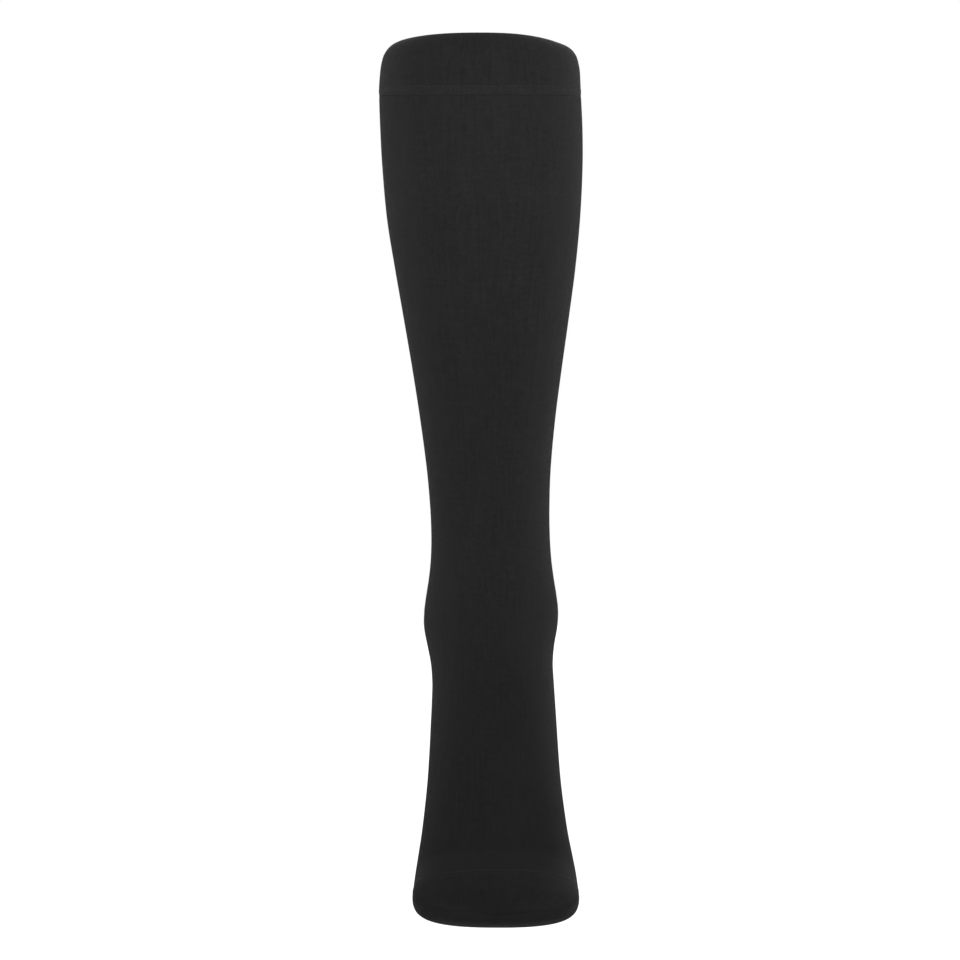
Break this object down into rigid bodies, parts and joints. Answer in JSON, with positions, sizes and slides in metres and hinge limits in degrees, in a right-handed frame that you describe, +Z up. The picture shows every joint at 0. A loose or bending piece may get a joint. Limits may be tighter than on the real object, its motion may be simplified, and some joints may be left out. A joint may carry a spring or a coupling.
{
  "type": "compression stocking",
  "caption": "A knee-high knitted compression stocking with a closed toe, filled out as worn, with a doubled elastic knee band, a heel pouch and a toe cap.",
  "frame": {"origin": "the centre of the knee band, halfway up it, where the wearer's leg holds the stocking up", "axes": "+Z up along the leg, -Y forward the way the toes point, +X the side of the big toe"},
  "size_m": [0.108, 0.1903, 0.4668],
  "materials": {
    "band_knit": "black elastic band, doubled, fine close rib, matt with a soft sheen at grazing angles",
    "leg_knit": "black fine-gauge compression knit of microfibre yarn, matt with a soft sheen at grazing angles",
    "heel_knit": "black reinforced knit, a little denser than the leg's",
    "toe_knit": "black reinforced knit, denser and a little darker than the leg's"
  },
  "bodies": {
    "root": {"knee_band": "band_knit", "leg_and_foot": "leg_knit", "heel": "heel_knit", "toe_cap": "toe_knit"}
  },
  "joints": []
}
